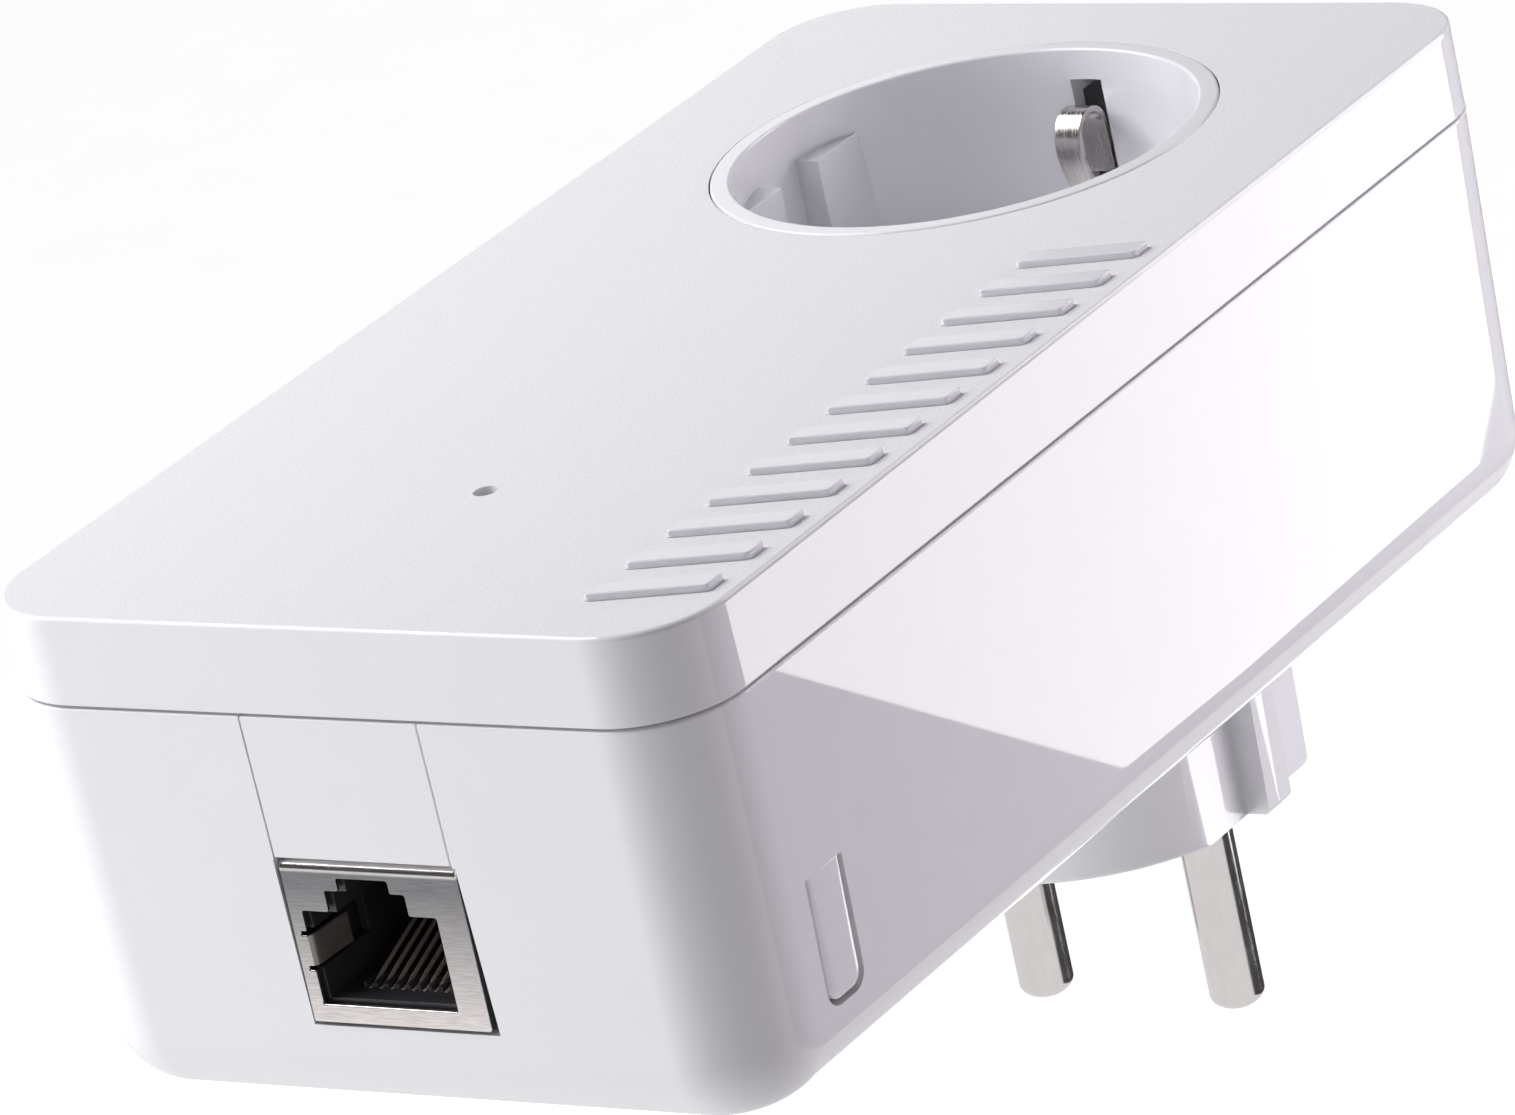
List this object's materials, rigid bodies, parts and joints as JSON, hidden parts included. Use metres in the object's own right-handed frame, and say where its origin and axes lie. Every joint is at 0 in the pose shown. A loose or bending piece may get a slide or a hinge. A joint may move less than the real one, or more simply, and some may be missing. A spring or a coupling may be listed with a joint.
{
  "type": "powerline adapter",
  "caption": "Plug-in powerline network adapter with a built-in earthed mains socket in its front cover, a network jack in its lower end and a pairing button in its side.",
  "frame": {"origin": "centre of the plug's end face, midway between its two pins", "axes": "+Z out of the front cover, away from the wall; +Y along the body towards the socket end; X across the body, through both pins"},
  "size_m": [0.066, 0.13, 0.0796],
  "materials": {
    "cover_plastic": "fine spark-eroded matte",
    "shell_plastic": "polished",
    "insert_plastic": "satin",
    "trim_plastic": "pearl gloss",
    "label_film": "printed film, blank",
    "clear_plastic": "clear",
    "nickel": "polished nickel",
    "spring_steel": "rolled spring steel",
    "screw_steel": "zinc plated",
    "jack_steel": "brushed",
    "brass": "rolled",
    "black_plastic": "matte",
    "grey_plastic": "matte",
    "board": "solder mask",
    "chip_resin": "matte resin",
    "aluminium": "extruded",
    "yellow_tape": "wound tape",
    "ferrite": "sintered",
    "blue_resin": "dipped resin",
    "capacitor_sleeve": "shrunk sleeve",
    "copper_wire": "enamelled wire"
  },
  "bodies": {
    "root": {"front_cover": "cover_plastic", "rear_housing": "shell_plastic", "port_filler_panel": "shell_plastic", "rating_label": "label_film", "trim_bars": "trim_plastic", "light_guide": "clear_plastic", "case_screw_1": "screw_steel", "case_screw_2": "screw_steel", "case_screw_3": "screw_steel", "case_screw_4": "screw_steel", "plug_body": "insert_plastic", "live_pin": "nickel", "neutral_pin": "nickel", "plug_earth_strip_far": "spring_steel", "plug_earth_strip_near": "spring_steel", "socket_insert": "insert_plastic", "earth_bridge": "brass", "shutter_spring": "spring_steel", "shutter_retainer": "spring_steel", "live_contact": "brass", "neutral_contact": "brass", "live_busbar": "brass", "neutral_busbar": "brass", "contact_carrier": "black_plastic", "tact_switch": "black_plastic", "jack_shield": "jack_steel", "jack_body": "black_plastic", "main_board": "board", "line_chip": "chip_resin", "heat_sink": "aluminium", "memory_chip": "chip_resin", "network_transformer": "chip_resin", "status_led": "clear_plastic", "clock_crystal": "aluminium", "coupling_transformer": "yellow_tape", "supply_transformer_core": "ferrite", "supply_transformer_coil": "yellow_tape", "film_capacitor": "blue_resin", "varistor": "blue_resin", "fuse": "black_plastic", "bridge_rectifier": "chip_resin", "bulk_capacitor_1": "capacitor_sleeve", "bulk_capacitor_2": "capacitor_sleeve", "output_capacitor": "capacitor_sleeve", "filter_choke": "copper_wire"},
    "button": {"pairing_button": "shell_plastic"},
    "plunger": {"tact_plunger": "grey_plastic"},
    "shutter": {"shutter": "insert_plastic"},
    "clip_far": {"earth_clip_far": "spring_steel"},
    "clip_near": {"earth_clip_near": "spring_steel"},
    "jack_contacts": {"jack_wire_1": "nickel", "jack_wire_2": "nickel", "jack_wire_3": "nickel", "jack_wire_4": "nickel", "jack_wire_5": "nickel", "jack_wire_6": "nickel", "jack_wire_7": "nickel", "jack_wire_8": "nickel"}
  },
  "joints": [
    {"name": "button_press", "type": "hinge", "parent": "root", "child": "button", "pos_m": [0.0318, -0.08585, 0.0355], "axis": [0, 1, 0], "range_deg": [0, 3.5], "stiffness_Nm_per_rad": 0.1},
    {"name": "plunger_press", "type": "slide", "parent": "root", "child": "plunger", "axis": [-1, 0, 0], "range_m": [0, 0.00046]},
    {"name": "shutter_turn", "type": "hinge", "parent": "root", "child": "shutter", "pos_m": [0, 0, 0.0397], "axis": [0, 0, 1], "range_deg": [0, 40], "stiffness_Nm_per_rad": 0.004},
    {"name": "earth_clip_far_flex", "type": "hinge", "parent": "root", "child": "clip_far", "pos_m": [0, 0.022, 0.0382], "axis": [-1, 0, 0], "range_deg": [0, 11], "stiffness_Nm_per_rad": 0.2},
    {"name": "earth_clip_near_flex", "type": "hinge", "parent": "root", "child": "clip_near", "pos_m": [0, -0.022, 0.0382], "axis": [1, 0, 0], "range_deg": [0, 11], "stiffness_Nm_per_rad": 0.2},
    {"name": "jack_contacts_flex", "type": "hinge", "parent": "root", "child": "jack_contacts", "pos_m": [-0.0007, -0.0944, 0.0286], "axis": [-1, 0, 0], "range_deg": [0, 12], "stiffness_Nm_per_rad": 0.05}
  ],
  "couplings": [
    {"joint": "plunger_press", "follows": "button_press", "m_per_rad": 0.0072}
  ]
}
